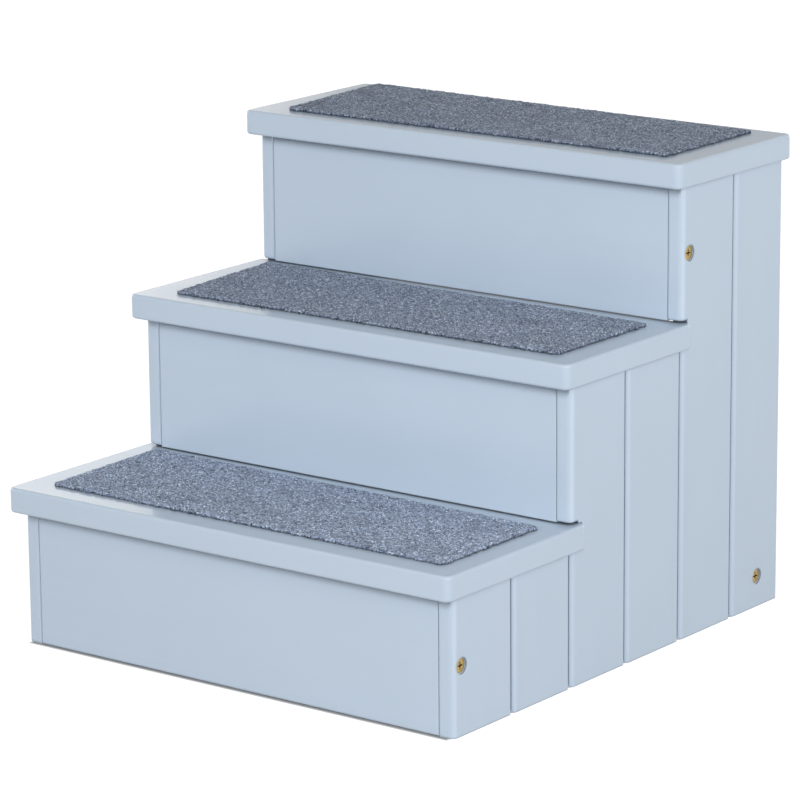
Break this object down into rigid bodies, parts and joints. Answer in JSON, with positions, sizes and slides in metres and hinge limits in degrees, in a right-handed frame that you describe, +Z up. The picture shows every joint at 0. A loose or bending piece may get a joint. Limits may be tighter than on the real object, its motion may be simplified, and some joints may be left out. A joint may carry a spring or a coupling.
{
  "type": "pet stairs",
  "caption": "Pet stairs with boarded stepped sides, closed risers, overhanging treads with carpet mats and an open back.",
  "frame": {"origin": "on the floor under the middle of the stairs' bounding box", "axes": "+Z up, front of the lowest step towards -Y, +X to the right seen from the front"},
  "size_m": [0.45, 0.4844, 0.406],
  "materials": {
    "painted_boards": "satin pale blue-grey paint",
    "painted_panels": "satin pale blue-grey paint",
    "painted_treads": "satin pale blue-grey paint",
    "painted_battens": "satin pale blue-grey paint",
    "carpet": "short dense pile in mixed blue-grey yarn",
    "brass_bolts": "satin brass colour with a cross drive",
    "zinc_nuts": "zinc plated",
    "zinc_screws": "zinc plated",
    "bare_wood": "plain beech"
  },
  "bodies": {
    "root": {"right_board_1": "painted_boards", "right_board_2": "painted_boards", "right_board_3": "painted_boards", "right_board_4": "painted_boards", "right_board_5": "painted_boards", "right_board_6": "painted_boards", "left_board_1": "painted_boards", "left_board_2": "painted_boards", "left_board_3": "painted_boards", "left_board_4": "painted_boards", "left_board_5": "painted_boards", "left_board_6": "painted_boards", "riser_1": "painted_panels", "riser_2": "painted_panels", "riser_3": "painted_panels", "rear_rail": "painted_panels", "tread_1": "painted_treads", "tread_2": "painted_treads", "tread_3": "painted_treads", "right_batten_1": "painted_battens", "right_batten_2": "painted_battens", "right_batten_3": "painted_battens", "left_batten_1": "painted_battens", "left_batten_2": "painted_battens", "left_batten_3": "painted_battens", "carpet_1": "carpet", "carpet_2": "carpet", "carpet_3": "carpet", "side_bolts": "brass_bolts", "barrel_nuts": "zinc_nuts", "dowels": "bare_wood", "batten_screws": "zinc_screws", "tread_screws": "zinc_screws"}
  },
  "joints": []
}
